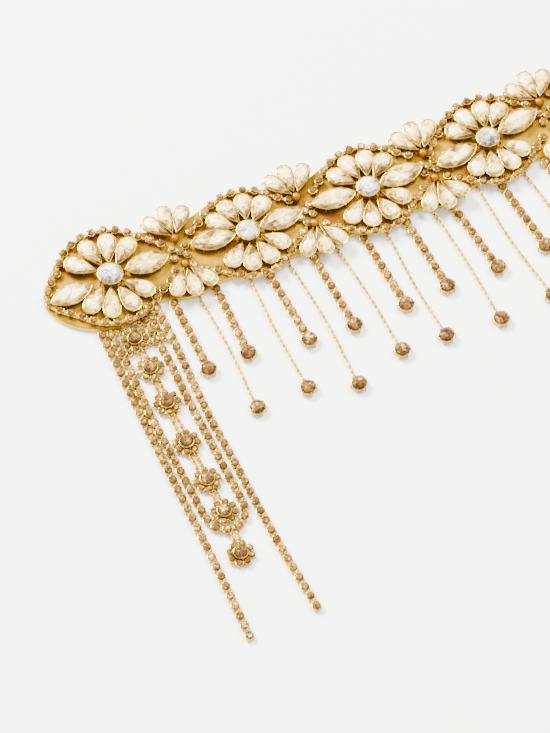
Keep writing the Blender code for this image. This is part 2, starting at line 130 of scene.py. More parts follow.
# How unevenly each kind of stone sits: its greatest tilt in degrees, and its greatest shift in tone
STONE_PLAY = (2.5, 0.06)
CENTRE_PLAY = (2.0, 0.06)
CROSSING_PLAY = (7.0, 0.15)
RING_PLAY = (6.0, 0.15)
CHAIN_PLAY = (4.0, 0.2)
END_STONE_PLAY = (3.0, 0.12)
ROSETTE_PLAY = (5.0, 0.12)
ROSETTE_CUP_PLAY = (5.0, 0.2)
TOP_PLAY = (5.0, 0.1)

# Sides of round things
WIRE_SIDES = 5
BAR_SIDES = 6
LINK_SEGMENTS = 10
BALL_SIDES = 16
BALL_ROWS = 10
CURVE_PIECES = 12

# Fans
FAN_BEAD_DIAMETER = 3.1 * MM
FAN_STONE_START = 2.2 * MM
FAN_STONE_LENGTH = 9.9 * MM
FAN_STONE_WIDTH = 5.3 * MM
FAN_STEP = math.radians(35)
FAN_TURN_PLAY = 0.02

# Small stones in cups
CUP_HEIGHT = 1.3 * MM
CUP_CROWN = 0.55 * MM
CUP_STONE_SHARE = 0.92
FLOOR_CLEARANCE = 0.25 * MM

# The rings round the flowers: they flare towards the crossings, where five stones stand, and keep clear of the
# flowers' and fans' stones. Those are checked at shares of their length; a fan's has its half width's share beside.
# The stones at a crossing stand in millimetres along and out from the middle between the fans' beads
RING_RADIUS = 15.5 * MM
END_RING_RADIUS = 16.9 * MM
RING_OFFSET = 0.3 * MM
RING_SPACING = 3.9 * MM
RING_CUP = 2.8 * MM
RING_SINK = 0.2 * MM
RING_LINK_WIDTH = 1.7 * MM
RING_LINK_LIFT = -0.1 * MM
RING_TURN_STEP = 0.01
RING_TUCK = 1.3 * MM
RING_FLARE = 38.0
END_FLARE = 29.0
TIP_RING_REACH = 22.0 * MM
END_DROOP = math.radians(6)
CUP_CLEARANCE = 0.2 * MM
STONE_CHECKS = (0.3, 0.45, 0.6, 0.75)
WIDEST_SHARE = 0.6
FAN_CHECKS = ((0.2, 0.35), (0.4, 0.7), (0.65, 1.0), (0.85, 0.85))
CROSSING_CUP = 2.4 * MM
CROSSING_SINK = 0.1 * MM
CROSSING_CUPS = ((0.1, 0.1), (2.2, 1.6), (-2.1, 1.7), (-2.3, -1.6), (2.0, -1.7))

# Chains: cups with links between, a hair under evenly spaced so that the last cup stays on its route, and ovals of
# wire, each with its length, width and wire. Ovals overlap by so many wires
CHAIN_CUP_WIDTH = 3.0 * MM
CHAIN_CUP_LENGTH = 3.4 * MM
CHAIN_PITCH = 3.85 * MM
JUST_UNDER = 0.9999
LINK_WIDTH = 1.7 * MM
LINK_LIFT = 0.75 * MM
FINE_LINK = (2.1 * MM, 1.4 * MM, 0.5 * MM)
ROSETTE_LINK = (2.4 * MM, 1.7 * MM, 0.6 * MM)
LINK_OVERLAP = 2.2
LINK_TURN = math.radians(45)

# The fringe. Its strands' places are read from the solids: how deep the stone's table and the chain's cap are
# there, and the stretches at both ends that say nothing of the bend
TABLE_DEPTH = 0.05 * MM
CAP_DEPTH = 0.4 * MM
STONE_STRETCH = 6 * MM
CAP_STRETCH = 2 * MM
STRAND_START = 1.2 * MM
STRAND_STOP = 4.3 * MM
FINE_STOP = 0.6 * MM
END_STONE_DIAMETER = 5.3 * MM
END_STONE_RIM = 0.2 * MM
END_STONE_GIRDLE = 2.0 * MM
END_STONE_CROWN = 1.1 * MM
END_LOOP = (1.5 * MM, 1.2 * MM, 0.3 * MM)
END_LOOP_GAP = 0.35 * MM
END_LOOP_LIFT = 0.8 * MM

# The tassels
TASSEL_START = 0.9 * MM
TASSEL_STOP = 1.2 * MM
ROSETTE_STONE = 4.6 * MM
ROSETTE_SEAT = 0.3 * MM
ROSETTE_GIRDLE = 2.5 * MM
ROSETTE_CROWN = 1.2 * MM
ROSETTE_RING_RADIUS = 3.4 * MM
ROSETTE_CUP = 2.6 * MM
ROSETTE_CUPS = 8
ROSETTE_LINK_GAP = 0.9 * MM
ROSETTE_LINK_TUCK = 0.6 * MM
DROP_LINK_TUCK = 0.3 * MM

# Small stones fill a tassel's top, in millimetres from the same point as its routes
TOP_CUP = 1.9 * MM
TOP_STEP = 0.4
TOP_SPACING_SHARE = 0.97
TOP_LEFT, TOP_RIGHT = -7.9, 8.4
TOP_HIGH, TOP_LOW = 3.2, -10.2
TOP_CHAIN_CLEARANCE = 2.1 * MM
TOP_ROSETTE_CLEARANCE = 5.1 * MM

# The surface and the light
FLOOR_REACH = 6.0
FLOOR_DEPTH = 0.05 * MM
SKY_COLOUR = (0.96, 0.98, 1.0)
SKY_STRENGTH = 2.1

# Turns in degrees from the band's own direction: of each navette, and the middle and step of each row of petals
FLOWER_COLUMNS = ("name", "left_angle", "right_angle", "top_angle", "top_step", "low_angle", "low_step")
FLOWERS = (
    ("flower_1", 10.4, 3.4, 92.7, 32.5, -89.2, 31.3),
    ("flower_2", -7.8, 3.3, 93.0, 30.8, -87.0, 32.0),
    ("flower_3", -5.0, 1.1, 86.0, 31.0, -89.7, 33.0),
    ("flower_4", 5.0, 8.0, 91.5, 31.5, -90.5, 30.5),
    ("flower_5", -3.0, 1.5, 92.5, 31.5, -89.0, 32.0),
    ("flower_6", 4.5, 6.0, 88.0, 31.0, -92.5, 31.5),
    ("flower_7", 1.0, -9.0, 88.5, 32.0, -91.0, 31.5),
)
FIRST_FLOWER, LAST_FLOWER = FLOWERS[0][0], FLOWERS[-1][0]

# Each fan: the flower before it, the edge it opens to, how many degrees its middle turns, and in millimetres how
# far its bead is along from halfway between the flowers and out from the band's middle
FAN_COLUMNS = ("name", "after", "edge", "turn", "along", "out")
FANS = (
    ("fan_top_1", "flower_1", "plain", 2.0, 0.6, 6.1),
    ("fan_low_1", "flower_1", "fringe", 1.0, 0.6, 3.7),
    ("fan_top_2", "flower_2", "plain", 0.5, -1.6, 6.2),
    ("fan_low_2", "flower_2", "fringe", 0.0, 0.0, 4.9),
    ("fan_top_3", "flower_3", "plain", -0.5, 0.3, 4.5),
    ("fan_low_3", "flower_3", "fringe", 0.5, -0.3, 5.4),
    ("fan_top_4", "flower_4", "plain", 0.5, -0.3, 4.5),
    ("fan_low_4", "flower_4", "fringe", -0.5, 0.3, 5.4),
    ("fan_top_5", "flower_5", "plain", 0.0, 1.6, 6.2),
    ("fan_low_5", "flower_5", "fringe", 0.5, 0.0, 4.9),
    ("fan_top_6", "flower_6", "plain", -2.0, -0.6, 6.1),
    ("fan_low_6", "flower_6", "fringe", -1.0, -0.6, 3.7),
)

# Routes of the tassel's chains in millimetres from the fringe edge under the end flower, as in the solids
OUTER_CHAIN_ROUTE = (
    (-10.9, 4.8),
    (-11.4, -2.6),
    (-11.8, -10.4),
    (-12.4, -18.2),
    (-13.2, -31.2),
    (-14.0, -46.2),
    (-14.9, -64.2),
    (-15.8, -84.2),
    (-17.9, -118.1),
)
INNER_CHAIN_ROUTE = (
    (8.9, 4.8),
    (8.5, -3.5),
    (8.1, -12.2),
    (6.9, -27.2),
    (6.0, -42.2),
    (5.8, -58.2),
    (5.4, -76.2),
    (5.3, -94.2),
    (5.9, -118.0),
)
LOOP_ROUTE = (
    (-8.2, 3.8),
    (-8.6, -5.2),
    (-8.9, -13.2),
    (-9.9, -23.9),
    (-10.6, -36.2),
    (-10.9, -50.2),
    (-11.2, -64.2),
    (-11.3, -72.2),
    (-10.6, -76.5),
    (-8.4, -79.2),
    (-5.0, -80.3),
    (-1.6, -79.2),
    (0.9, -76.5),
    (1.7, -72.2),
    (2.0, -58.2),
    (2.4, -44.2),
    (2.8, -30.2),
    (3.6, -17.2),
    (3.6, -8.2),
    (3.2, 4.8),
)
ROSETTE_CENTRES = ((-2.6, -5.1), (-2.9, -16.8), (-3.7, -30.4), (-4.6, -46.0), (-4.8, -60.9), (-5.0, -73.6))
DROP_CENTRE = (-7.1, -89.4)

# Materials by number, in the order of the list below
CLEAR, SMOKY, TOPAZ, GOLD, BEAD, PALE, COOL, FINE = range(8)


def set_camera():
    """Places the camera so that the middle flower falls on its pixel."""
    turn = math.radians(CAMERA_AZIMUTH)
    lift = math.radians(CAMERA_ELEVATION)
    along = Vector((-math.sin(turn), math.cos(turn), 0))
    ahead = along * math.cos(lift) - Vector((0, 0, math.sin(lift)))
    right = ahead.cross(Vector((0, 0, 1))).normalized()
    up = right.cross(ahead)
    per_pixel = MM / PIXELS_PER_MM
    aside = (MIDDLE_FLOWER_PIXEL[0] - IMAGE_WIDTH / 2) * per_pixel
    above = (IMAGE_HEIGHT / 2 - MIDDLE_FLOWER_PIXEL[1]) * per_pixel
    target = MIDDLE_FLOWER_TOP - right * aside - up * above
    data = bpy.data.cameras.new("camera")
    data.lens = SENSOR * CAMERA_DISTANCE / (IMAGE_HEIGHT * per_pixel)
    data.sensor_width = SENSOR
    data.clip_end = FAR_CLIP
    camera = bpy.data.objects.new("camera", data)
    camera.rotation_mode = "QUATERNION"
    camera.rotation_quaternion = ahead.to_track_quat("-Z", "Y")
    camera.location = target - ahead * CAMERA_DISTANCE
    bpy.context.scene.collection.objects.link(camera)
    bpy.context.scene.camera = camera


set_camera()


# Scales of noise are per metre
CLOUD_SCALE = 170.0
CLOUD_SHIFT = 0.16
GLASS_IOR = 1.6


def new_material(name):
    made = bpy.data.materials.new(name)
    made.use_nodes = True
    return made, made.node_tree.nodes, made.node_tree.links, made.node_tree.nodes["Principled BSDF"]


def ramp(nodes, stops):
    made = nodes.new("ShaderNodeValToRGB")
    elements = made.color_ramp.elements
    while len(elements) < len(stops):
        elements.new(0.5)
    for element, (position, colour) in zip(elements, stops):
        element.position = position
        element.color = (*colour, 1)
    return made


def object_noise(nodes, links, kind, scale, detail=2.0):
    where = nodes.new("ShaderNodeTexCoord")
    made = nodes.new("ShaderNodeTexNoise" if kind == "noise" else "ShaderNodeTexVoronoi")
    made.inputs["Scale"].default_value = scale
    if kind == "noise":
        made.inputs["Detail"].default_value = detail
    links.new(where.outputs["Object"], made.inputs["Vector"])
    return made


def bump(nodes, links, height, shader, strength, distance):
    made = nodes.new("ShaderNodeBump")
    made.inputs["Strength"].default_value = strength
    made.inputs["Distance"].default_value = distance
    links.new(height, made.inputs["Height"])
    links.new(made.outputs["Normal"], shader.inputs["Normal"])


def stone_material(name, stops, cells, share, roughness, coat, shine=0.3):
    """Foiled cut glass: each facet has its own tone, broken up by the facets behind it; the tones carry the stone's
    own colour into painted shade and painted highlights, and the cells behind are painted reflections of its back
    facets seen through the front.
    """
    made, nodes, links, shader = new_material(name)
    tone = nodes.new("ShaderNodeAttribute")
    tone.attribute_name = "tone"
    # Painted reflection: cells of tone that stand for the back facets seen through the front ones
    behind = object_noise(nodes, links, "voronoi", cells)
    split = nodes.new("ShaderNodeSeparateColor")
    links.new(behind.outputs["Color"], split.inputs["Color"])
    blend = nodes.new("ShaderNodeMix")
    blend.inputs["Factor"].default_value = share
    links.new(tone.outputs["Fac"], blend.inputs["A"])
    links.new(split.outputs["Red"], blend.inputs["B"])
    cloud = object_noise(nodes, links, "noise", CLOUD_SCALE)
    shift = nodes.new("ShaderNodeMapRange")
    shift.inputs["From Min"].default_value = 0.3
    shift.inputs["From Max"].default_value = 0.7
    shift.inputs["To Min"].default_value = -CLOUD_SHIFT
    shift.inputs["To Max"].default_value = CLOUD_SHIFT
    links.new(cloud.outputs["Fac"], shift.inputs["Value"])
    total = nodes.new("ShaderNodeMath")
    links.new(blend.outputs["Result"], total.inputs[0])
    links.new(shift.outputs["Result"], total.inputs[1])
    colours = ramp(nodes, stops)
    links.new(total.outputs["Value"], colours.inputs["Fac"])
    links.new(colours.outputs["Color"], shader.inputs["Base Color"])
    shader.inputs["Roughness"].default_value = roughness
    shader.inputs["IOR"].default_value = GLASS_IOR
    shader.inputs["Specular IOR Level"].default_value = shine
    shader.inputs["Coat Weight"].default_value = coat
    shader.inputs["Coat Roughness"].default_value = 0.03
    return made


def metal_material(name, light, dark, roughness):
    made, nodes, links, shader = new_material(name)
    wear = object_noise(nodes, links, "noise", 420.0, 3.0)
    colours = ramp(nodes, ((0.35, dark), (0.65, light)))
    links.new(wear.outputs["Fac"], colours.inputs["Fac"])
    links.new(colours.outputs["Color"], shader.inputs["Base Color"])
    rough = nodes.new("ShaderNodeMapRange")
    rough.inputs["To Min"].default_value = roughness * 0.7
    rough.inputs["To Max"].default_value = roughness * 1.4
    links.new(wear.outputs["Fac"], rough.inputs["Value"])
    links.new(rough.outputs["Result"], shader.inputs["Roughness"])
    shader.inputs["Metallic"].default_value = 1.0
    fine = object_noise(nodes, links, "noise", 2600.0, 2.0)
    bump(nodes, links, fine.outputs["Fac"], shader, 0.25, 0.02 * MM)
    return made


LEATHER_STOPS = (
    (0.32, (0.10, 0.037, 0.0003)),
    (0.5, (0.20, 0.094, 0.0004)),
    (0.68, (0.31, 0.176, 0.001)),
)
# Painted reflection: the paler colour of the rounded cut edge, standing in for the bright floor reflected there
LEATHER_EDGE_PAINTED_REFLECTION = (0.62, 0.43, 0.03)


def leather_material():
    """Gold coated leather: browner and yellower in patches at random, and paler round its cut edge, where the paler
    colour is a painted reflection of the bright floor.
    """
    made, nodes, links, shader = new_material("gold_leather_skin")
    patches = object_noise(nodes, links, "noise", 140.0, 4.0)
    skin = ramp(nodes, LEATHER_STOPS)
    links.new(patches.outputs["Fac"], skin.inputs["Fac"])
    where = nodes.new("ShaderNodeTexCoord")
    split = nodes.new("ShaderNodeSeparateXYZ")
    links.new(where.outputs["Object"], split.inputs["Vector"])
    # Painted reflection: below the top's rounded rim, the cut edge takes the paler edge colour
    level = nodes.new("ShaderNodeMapRange")
    level.inputs["From Min"].default_value = BACKING_THICKNESS - EDGE_ROUND
    level.inputs["From Max"].default_value = BACKING_THICKNESS
    links.new(split.outputs["Z"], level.inputs["Value"])
    blend = nodes.new("ShaderNodeMix")
    blend.data_type = "RGBA"
    blend.inputs["A"].default_value = (*LEATHER_EDGE_PAINTED_REFLECTION, 1)
    links.new(level.outputs["Result"], blend.inputs["Factor"])
    links.new(skin.outputs["Color"], blend.inputs["B"])
    links.new(blend.outputs["Result"], shader.inputs["Base Color"])
    shader.inputs["Roughness"].default_value = 0.5
    shader.inputs["Metallic"].default_value = 0.7
    shader.inputs["Specular IOR Level"].default_value = 0.1
    grain = object_noise(nodes, links, "voronoi", 1500.0)
    bump(nodes, links, grain.outputs["Distance"], shader, 0.4, 0.06 * MM)
    return made


# Each stone's colours by tone, from dark to light: the stone's own colour carried down into painted shade and up
# into painted highlights
CLEAR_STOPS = (
    (0.0, (0.045, 0.018, 0.002)),
    (0.16, (0.12, 0.054, 0.006)),
    (0.32, (0.25, 0.13, 0.024)),
    (0.46, (0.46, 0.29, 0.060)),
    (0.64, (0.76, 0.53, 0.12)),
    (0.83, (0.92, 0.75, 0.30)),
    (0.95, (0.96, 0.87, 0.56)),
    (1.0, (0.97, 0.94, 0.86)),
)
COOL_STOPS = (
    (0.0, (0.03, 0.022, 0.012)),
    (0.22, (0.12, 0.093, 0.055)),
    (0.45, (0.34, 0.29, 0.20)),
    (0.70, (0.68, 0.62, 0.49)),
    (1.0, (0.95, 0.94, 0.90)),
)
SMOKY_STOPS = (
    (0.0, (0.012, 0.005, 0.001)),
    (0.25, (0.048, 0.020, 0.002)),
    (0.50, (0.105, 0.046, 0.005)),
    (0.74, (0.22, 0.105, 0.013)),
    (0.90, (0.46, 0.28, 0.055)),
    (1.0, (0.85, 0.66, 0.34)),
)
TOPAZ_STOPS = (
    (0.0, (0.007, 0.003, 0.001)),
    (0.30, (0.032, 0.012, 0.002)),
    (0.55, (0.085, 0.035, 0.004)),
    (0.78, (0.20, 0.095, 0.012)),
    (0.92, (0.46, 0.28, 0.07)),
    (1.0, (0.85, 0.70, 0.42)),
)
MATERIALS = [
    stone_material("clear_crystal", CLEAR_STOPS, cells=560.0, share=0.30, roughness=0.08, coat=0.12),
    stone_material("smoky_stone", SMOKY_STOPS, cells=1300.0, share=0.5, roughness=0.15, coat=0.0, shine=0.15),
    stone_material("topaz_stone", TOPAZ_STOPS, cells=900.0, share=0.45, roughness=0.12, coat=0.0, shine=0.2),
    metal_material("gold_settings", light=(0.66, 0.43, 0.025), dark=(0.40, 0.21, 0.010), roughness=0.28),
    metal_material("gold_beads", light=(0.38, 0.165, 0.001), dark=(0.26, 0.095, 0.0005), roughness=0.34),
    metal_material("pale_gold", light=(0.72, 0.46, 0.035), dark=(0.38, 0.195, 0.008), roughness=0.28),
    stone_material("cool_crystal", COOL_STOPS, cells=700.0, share=0.45, roughness=0.08, coat=0.3),
    metal_material("fine_links", light=(0.80, 0.58, 0.12), dark=(0.50, 0.32, 0.04), roughness=0.35),
]
LEATHER = leather_material()


class Pile:
    """Faces gathered for one joined mesh, each with its material and tone."""

    def __init__(self):
        self.points = []
        self.faces = []
        self.materials = []
        self.tones = []

    def add(self, form, frame_there, tone=0.0):
        """Adds each body of a form; the tone shifts its facets lighter or darker."""
        for points, faces, material, tones in form:
            first = len(self.points)
            self.points.extend(frame_there @ point for point in points)
            self.faces.extend([first + corner for corner in face] for face in faces)
            self.materials.extend([material] * len(faces))
            self.tones.extend(min(1.0, max(0.0, own + tone)) for own in tones)

    def make(self, name, *nodes, slot=None):
        mesh = bpy.data.meshes.new(name)
        mesh.from_pydata(self.points, [], self.faces)
        used = sorted(set(self.materials))
        for material in used:
            mesh.materials.append(MATERIALS[material])
        mesh.polygons.foreach_set("material_index", [used.index(material) for material in self.materials])
        tones = mesh.attributes.new("tone", "FLOAT", "FACE")
        tones.data.foreach_set("value", self.tones)
        mesh.update()
        made = bpy.data.objects.new(name, mesh)
        bpy.context.scene.collection.objects.link(made)
        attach(made, "root")
        if nodes:
            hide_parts(*nodes)


# Forms: lists of bodies, each with its points, faces, material and a tone for each face


def body(points, faces, material, tones=None):
    return (points, faces, material, tones or [0.5] * len(faces))


def stack(rings, material, cap_high=True):
    """A body through rings of points, each as long as the last, closed below and, unless told not to, above."""
    count = len(rings[0])
    points = [point for ring in rings for point in ring]
    faces = []
    for row in range(len(rings) - 1):
        for side in range(count):
            after = (side + 1) % count
            low, high = row * count, (row + 1) * count
            faces.append([low + side, low + after, high + after, high + side])
    faces.append(list(reversed(range(count))))
    if cap_high:
        faces.append([(len(rings) - 1) * count + side for side in range(count)])
    return body(points, faces, material)


def round_point(share):
    turn = 2 * math.pi * share
    return Vector((math.cos(turn) / 2, math.sin(turn) / 2, 0))


def navette_point(share):
    """A pointed oval about its middle, one long and one wide."""
    turn = 2 * math.pi * share
    reach = math.cos(turn)
    half = (1 - reach * reach) ** 0.85 / 2
    return Vector((reach / 2, math.copysign(half, math.sin(turn)), 0))


def teardrop_point(share):
    """A teardrop about its middle, its point towards -X."""
    turn = 2 * math.pi * share
    half = math.sin(turn) * (0.5 + 0.5 * math.cos(turn)) ** 0.62 * 0.66
    return Vector((math.cos(turn) / 2, half, 0))


# Each kind of stone: its shape, its facets round the edge, where its claws stand as shares of the way round, their
# wire, its table as a share of the outline, and how much lighter it is at its round end and darker at its point, a
# painted shade over the inner end of each petal and fan stone
Cut = namedtuple("Cut", "shape facets claws wire table lean")
PETAL_CUT = Cut(teardrop_point, 14, (0.08, 0.30, 0.5, 0.70, 0.92), 0.22 * MM, 0.46, 0.34)
NAVETTE_CUT = Cut(navette_point, 16, (0.0, 0.17, 0.33, 0.5, 0.67, 0.83), 0.24 * MM, 0.66, 0.0)
CENTRE_CUT = Cut(round_point, 16, (0.0625, 0.3125, 0.5625, 0.8125), 0.34 * MM, 0.5, 0.0)
CUP_CUT = Cut(round_point, 8, (0.125, 0.375, 0.625, 0.875), 0.2 * MM, 0.56, 0.0)
END_STONE_CUT = Cut(round_point, 12, (0.04, 0.21, 0.375, 0.54, 0.71, 0.875), 0.27 * MM, 0.5, 0.0)
ROSETTE_CUT = Cut(round_point, 12, (0.0625, 0.3125, 0.5625, 0.8125), 0.25 * MM, 0.5, 0.0)


def outline(cut, length, width, share, height, half_step=False):
    """The stone's outline, as a share of its size and at a height."""
    shift = 0.5 if half_step else 0.0
    made = []
    for step in range(cut.facets):
        point = cut.shape((step + shift) / cut.facets)
        made.append(Vector((point.x * length * share, point.y * width * share, height)))
    return made


def cut_stone(cut, length, width, girdle, crown, material, rng):
    """Facets between girdle, break and table, in triangles as a brilliant's, with tones drawn at random that paint
    in highlights and shade.
    """
    count = cut.facets
    low = outline(cut, length, width, 1.0, girdle - GIRDLE_DEPTH_SHARE * crown)
    edge = outline(cut, length, width, 1.0, girdle)
    middle = outline(cut, length, width, BREAK_SHARE, girdle + BREAK_HEIGHT_SHARE * crown, half_step=True)
    top = outline(cut, length, width, cut.table, girdle + crown)
    # Painted shade along the stone: lighter towards its round end, darker towards its point
    shifts = [cut.lean * point.x * 2 / length for point in edge]
    points = low + edge + middle + top
    faces = [list(reversed(range(count)))]
    tones = [BACK_TONE]
    rows = [row * count for row in range(4)]
    for side in range(count):
        after = (side + 1) % count
        faces.append([rows[0] + side, rows[0] + after, rows[1] + after, rows[1] + side])
        faces.append([rows[1] + side, rows[1] + after, rows[2] + side])
        faces.append([rows[1] + after, rows[2] + after, rows[2] + side])
        faces.append([rows[2] + side, rows[3] + after, rows[3] + side])
        faces.append([rows[2] + side, rows[2] + after, rows[3] + after])
        tones.append(GIRDLE_TONE)
        tones.extend(rng.uniform(*limits) + shifts[side] for limits in FACET_TONES)
    summit = sum(top, Vector()) / count
    points.append(summit + Vector(((rng.random() - 0.5) * SUMMIT_PLAY * length * cut.table, 0, 0)))
    # The table's fan of triangles: most of them painted highlights, the rest painted dark reflections of the facets
    # beneath
    for side in range(count):
        faces.append([rows[3] + side, rows[3] + (side + 1) % count, 4 * count])
        limits = BRIGHT_TONES if rng.random() < BRIGHT_SHARE else DARK_TONES
        tones.append(rng.uniform(*limits) + shifts[side])
    return body(points, faces, material, tones)


def claw(at, inward, low, high, wire, material):
    """A small claw that stands at the stone's edge and bends over it."""
    profile = (
        # height, way inward in wires, thickness in wires
        (low, 0.0, 1.0),
        (high - wire, 0.0, 0.95),
        (high, 0.55, 0.8),
        (high + wire * 0.5, 1.3, 0.35),
    )
    rings = []
    for height, lean, share in profile:
        middle = Vector((at.x, at.y, height)) + inward * lean * wire
        ring = []
        for side in range(WIRE_SIDES):
            turn = 2 * math.pi * side / WIRE_SIDES
            ring.append(middle + Vector((math.cos(turn), math.sin(turn), 0)) * wire * share)
        rings.append(ring)
    return stack(rings, material)


def setting(cut, length, width, seat, girdle, material):
    """The metal round a stone: a tapered wall, a rolled lip, and claws."""
    rim = 1.0 + 2 * RIM_WIDTH / width
    profile = (
        # share of the outline, height
        (FOOT_SHARE, seat),
        (rim, girdle - LIP_DEPTH),
        (rim, girdle + LIP_EDGE),
        (1.0, girdle + LIP_RISE),
        (LIP_INNER_SHARE, girdle - LIP_DROP),
    )
    rings = [outline(cut, length, width, share, height) for share, height in profile]
    form = [stack(rings, material, cap_high=False)]
    for share in cut.claws:
        point = cut.shape(share)
        at = Vector((point.x * length, point.y * width, 0))
        form.append(claw(at * rim, -at.normalized(), seat, girdle + CLAW_RISE, cut.wire, material))
    return form


def set_stone(cut, length, width, seat, girdle, crown, stone, metal, rng):
    form = setting(cut, length, width, seat, girdle, metal)
    form.append(cut_stone(cut, length, width, girdle, crown, stone, rng))
    return form


def cup(diameter, base, metal, rng, length=None):
    """A small smoky stone in a round or long cup with four claws."""
    long_way = (length or diameter) * CUP_STONE_SHARE
    wide_way = diameter * CUP_STONE_SHARE
    return set_stone(CUP_CUT, long_way, wide_way, base, base + CUP_HEIGHT, CUP_CROWN, SMOKY, metal, rng)


def ball(diameter, material):
    rings = []
    for row in range(1, BALL_ROWS):
        lift = math.pi * (row / BALL_ROWS - 0.5)
        ring = []
        for side in range(BALL_SIDES):
            turn = 2 * math.pi * side / BALL_SIDES
            ring.append(Vector((math.cos(turn) * math.cos(lift), math.sin(turn) * math.cos(lift), math.sin(lift))))
        rings.append([point * diameter / 2 for point in ring])
    return stack(rings, material)


def bar(start, end, width, material):
    """A short rod between two points."""
    along = (end - start).normalized()
    side = along.cross(Vector((0, 0, 1))).normalized()
    up = side.cross(along)
    rings = []
    for middle in (start, end):
        ring = []
        for step in range(BAR_SIDES):
            turn = 2 * math.pi * step / BAR_SIDES
            ring.append(middle + (side * math.cos(turn) + up * math.sin(turn)) * width / 2)
        rings.append(ring)
    return stack(rings, material)


def oval_link(length, width, wire, material):
    """A closed oval of wire, long along X and flat in XY."""
    half_long = (length - wire) / 2
    half_wide = (width - wire) / 2
    points = []
    for segment in range(LINK_SEGMENTS):
        turn = 2 * math.pi * segment / LINK_SEGMENTS
        middle = Vector((math.cos(turn) * half_long, math.sin(turn) * half_wide, 0))
        outward = Vector((math.cos(turn) * half_wide, math.sin(turn) * half_long, 0)).normalized()
        for side in range(WIRE_SIDES):
            around = 2 * math.pi * side / WIRE_SIDES
            points.append(middle + (outward * math.cos(around) + Vector((0, 0, math.sin(around)))) * wire / 2)
    faces = []
    for segment in range(LINK_SEGMENTS):
        for side in range(WIRE_SIDES):
            low = segment * WIRE_SIDES
            high = (segment + 1) % LINK_SEGMENTS * WIRE_SIDES
            after = (side + 1) % WIRE_SIDES
            faces.append([low + side, high + side, high + after, low + after])
    return body(points, faces, material)


# Places


def named(columns, row):
    return dict(zip(columns, row))


def place(along, across, height=0.0):
    """A point along the band's arc, across it from its middle, and up."""
    turn = along / BAND_RADIUS
    reach = BAND_RADIUS - across
    return Vector((reach * math.sin(turn), BAND_RADIUS - reach * math.cos(turn), height))


def frame_at(along, across, turn=0.0):
    return Matrix.Translation(place(along, across)) @ Matrix.Rotation(along / BAND_RADIUS + turn, 4, "Z")


def heading(before, after):
    step = after - before
    return Matrix.Rotation(math.atan2(step.y, step.x), 4, "Z")


def any_spin(rng):
    return Matrix.Rotation(rng.uniform(0, math.pi), 4, "Z")


def mean(points):
    return sum(points, Vector()) / len(points)


def walk(route, spacing, start=0.0):
    """Points along a route of points, evenly spaced."""
    made = []
    ahead = start
    for before, after in zip(route, route[1:]):
        length = (after - before).length
        while ahead <= length:
            made.append(before.lerp(after, ahead / length if length else 0))
            ahead += spacing
        ahead -= length
    return made


def smooth(points):
    """Points of a Catmull-Rom curve through the route."""
    padded = [2 * points[0] - points[1]] + points + [2 * points[-1] - points[-2]]
    route = []
    for before, start, end, after in zip(padded, padded[1:], padded[2:], padded[3:]):
        for piece in range(CURVE_PIECES):
            t = piece / CURVE_PIECES
            bend = (end - before) * t + (2 * before - 5 * start + 4 * end - after) * t**2
            bend += (3 * start - before - 3 * end + after) * t**3
            route.append(start + bend / 2)
    return route + [points[-1]]


def tilted(rng, most):
    return Matrix.Rotation(math.radians(rng.uniform(-most, most)), 4, "X") @ Matrix.Rotation(
        math.radians(rng.uniform(-most, most)), 4, "Y"
    )


def lay(pile, form, frame_there, girdle, rng, play):
    """Adds a stone with the slight tilt of hand setting, turned about its girdle's middle."""
    tilt, tone = play
    lift = Matrix.Translation((0, 0, girdle))
    turned = frame_there @ lift @ tilted(rng, tilt) @ lift.inverted()
    pile.add(form, turned, rng.uniform(-tone, tone))


def lay_cup(pile, diameter, sink, frame_there, rng, play):
    """A small stone on the band, its cup sunk a little into what it stands on."""
    form = cup(diameter, STONE_SEAT - sink, GOLD, rng)
    lay(pile, form, frame_there @ any_spin(rng), STONE_SEAT + CUP_HEIGHT, rng, play)


def lay_low_cup(pile, diameter, metal, frame_there, rng, play, length=None):
    """A small stone that lies on the surface."""
    form = cup(diameter, FLOOR_CLEARANCE, metal, rng, length)
    lay(pile, form, frame_there, FLOOR_CLEARANCE + CUP_HEIGHT, rng, play)


def flower_positions():
    steps = (OUTER_PITCH, MIDDLE_PITCH, INNER_PITCH)
    left = [-sum(steps[index:]) for index in range(len(steps))]
    return left + [0.0] + [-along for along in reversed(left)]


FLOWER_ALONG = flower_positions()


# The band's edge


def plain_scallop(share):
    return PLAIN_REACH - PLAIN_NECK_DEPTH * math.sin(math.pi * share) ** 2


def fringe_scallop(share, from_end):
    extra = END_LOBE_EXTRA * max(0.0, 1 - from_end / END_LOBE_SHARE) ** 2
    return FRINGE_REACH - FRINGE_NOTCH_DEPTH * math.sin(2 * math.pi * share) ** 2 + extra


def band_tip(end):
    along = FLOWER_ALONG[0] if end < 0 else FLOWER_ALONG[-1]
    made = []
    for step in range(TIP_STEPS + 1):
        angle = math.pi * (step / TIP_STEPS - 0.5)
        reach = PLAIN_REACH if angle > 0 else END_REACH
        rise = math.copysign(abs(math.sin(angle)) ** TIP_POINTEDNESS, angle)
        across = reach * rise - TIP_DROOP * math.cos(angle) ** 2
        made.append(place(along + end * TIP_REACH * math.cos(angle), across))
    return made


def outline_points():
    """The band's edge, as the solid has it but in finer steps."""
    lower, upper = [], []
    last = len(FLOWER_ALONG) - 2
    for interval, (left, right) in enumerate(zip(FLOWER_ALONG, FLOWER_ALONG[1:])):
        for step in range(SCALLOP_STEPS):
            share = step / SCALLOP_STEPS
            from_end = min(interval + share, last - interval + 1 - share)
            along = left + share * (right - left)
            lower.append(place(along, -fringe_scallop(share, from_end)))
            upper.append(place(along, plain_scallop(share)))
    return lower[1:] + band_tip(1) + list(reversed(upper[1:])) + list(reversed(band_tip(-1)))


OUTLINE = outline_points()


